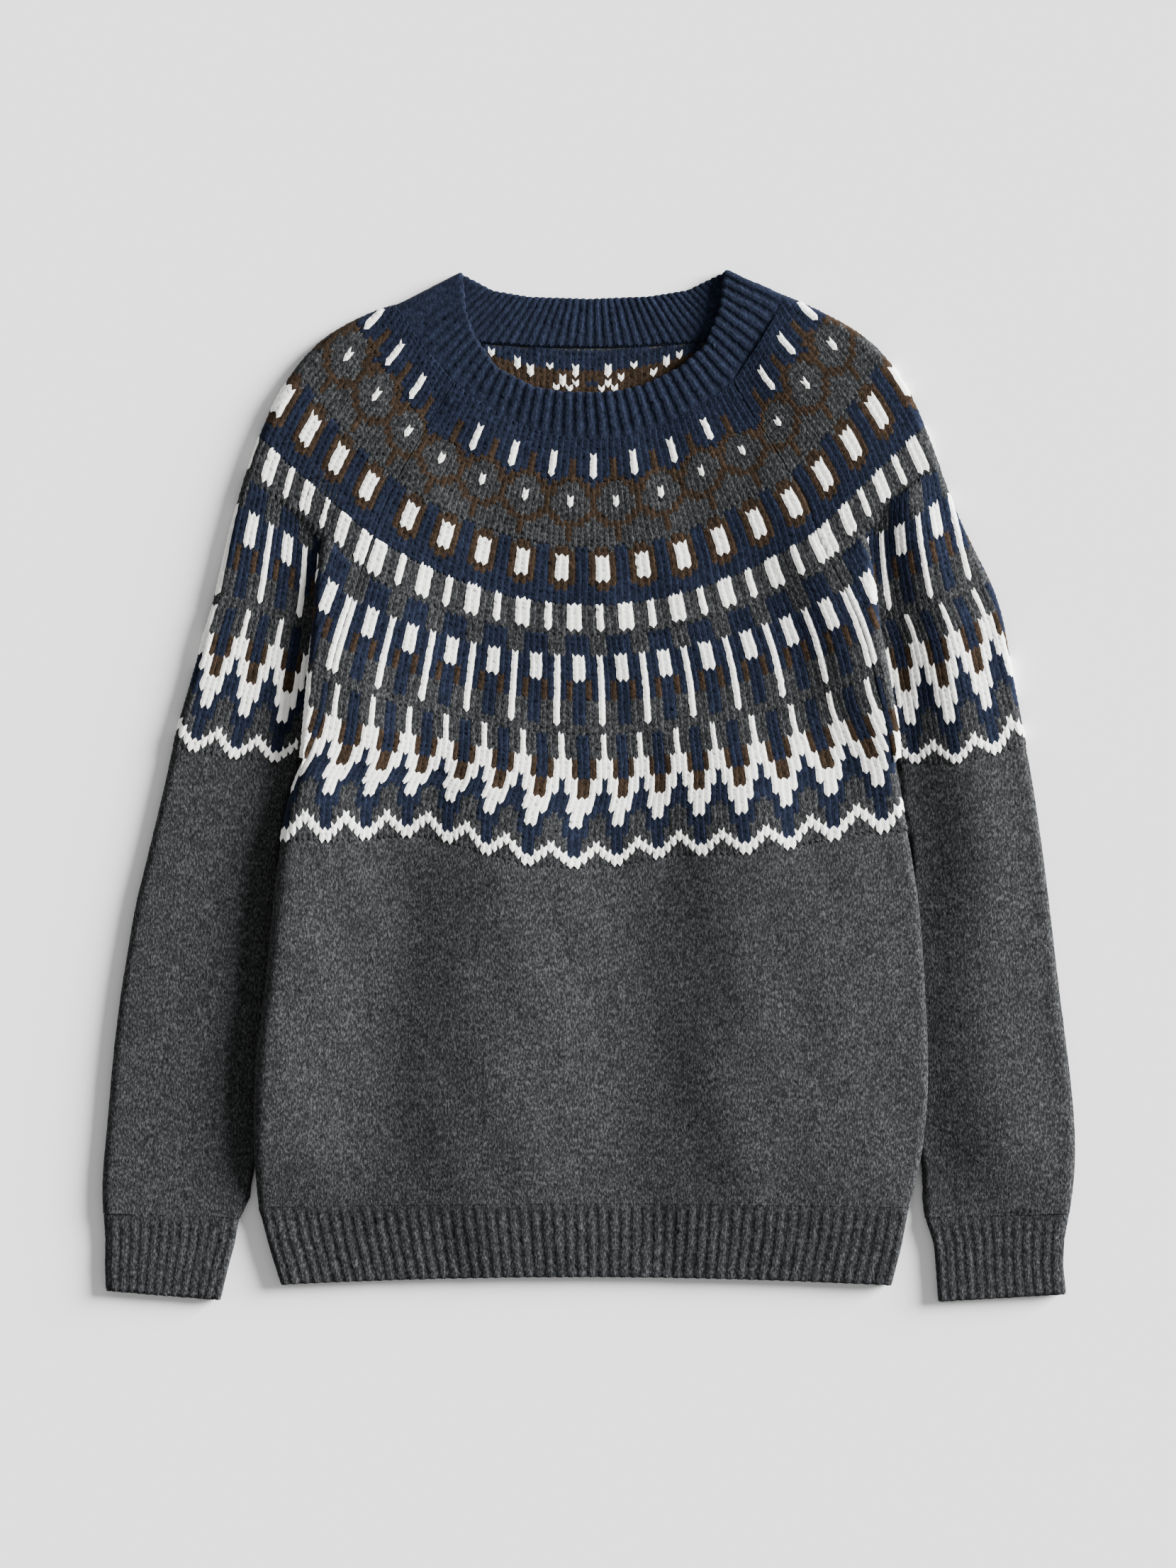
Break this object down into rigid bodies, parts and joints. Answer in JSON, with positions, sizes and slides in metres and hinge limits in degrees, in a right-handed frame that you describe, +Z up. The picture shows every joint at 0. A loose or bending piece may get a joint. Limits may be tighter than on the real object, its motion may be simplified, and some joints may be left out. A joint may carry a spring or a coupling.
{
  "type": "sweater",
  "caption": "Crew-neck raglan pullover lying flat face up, with a ribbed neckband, hem and cuffs and a patterned round yoke.",
  "frame": {"origin": "on the surface that the garment lies on, under the centre of its bounding box", "axes": "+Y from hem to neck, +Z up from the surface through the front, +X to the wearer's left"},
  "size_m": [0.6464, 0.6848, 0.0161],
  "materials": {
    "yoke_wool": "brushed wool knit, matt and slightly hairy",
    "grey_wool": "brushed wool knit, matt and slightly hairy",
    "navy_wool": "ribbed wool knit, matt",
    "grey_rib": "ribbed wool knit, matt"
  },
  "bodies": {
    "root": {"front_panel": "yoke_wool", "back_panel": "grey_wool", "sleeve_left": "yoke_wool", "sleeve_right": "yoke_wool", "neckband": "navy_wool", "hem_rib_front": "grey_rib", "hem_rib_back": "grey_rib", "cuff_left": "grey_rib", "cuff_right": "grey_rib"}
  },
  "joints": []
}
